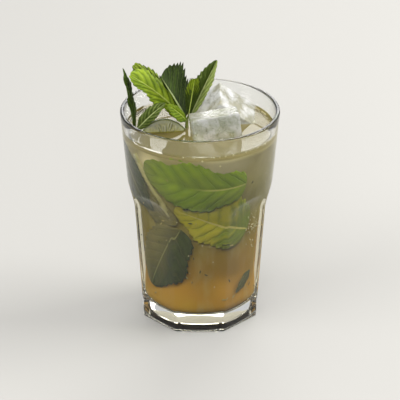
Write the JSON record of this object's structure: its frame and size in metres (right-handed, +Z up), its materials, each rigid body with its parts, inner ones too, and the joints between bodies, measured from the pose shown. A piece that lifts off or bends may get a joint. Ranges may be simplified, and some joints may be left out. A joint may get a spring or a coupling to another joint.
{
  "type": "mojito cocktail in a tumbler",
  "caption": "Tall faceted glass tumbler filled with a cloudy mint and lime drink, with ice cubes, a lime wedge and a sprig of mint at the rim.",
  "frame": {"origin": "middle of the foot, on the surface that the glass stands on", "axes": "+Z up along the glass's axis; -Y is the front, where one of the eight facets faces; +X is to the right seen from the front"},
  "size_m": [0.0878, 0.0878, 0.1529],
  "materials": {
    "clear_glass": "clear pressed glass, smooth",
    "mojito": "cloudy lime and rum drink, paler at the top and amber at the bottom",
    "ice": "wet ice with a cloudy core",
    "lime": "wet lime flesh with a green rind",
    "mint_stalk": "bare brownish green stalk",
    "mint_leaf": "fresh mint leaf, veined and toothed"
  },
  "bodies": {
    "root": {"glass_tumbler": "clear_glass", "drink": "mojito", "ice_back": "ice", "ice_front": "ice", "lime_wedge": "lime", "mint_stem": "mint_stalk", "mint_leaf_1": "mint_leaf", "mint_leaf_2": "mint_leaf", "mint_leaf_3": "mint_leaf", "mint_leaf_4": "mint_leaf", "mint_leaf_5": "mint_leaf", "mint_leaf_6": "mint_leaf", "mint_leaf_7": "mint_leaf", "mint_leaf_8": "mint_leaf"}
  },
  "joints": []
}
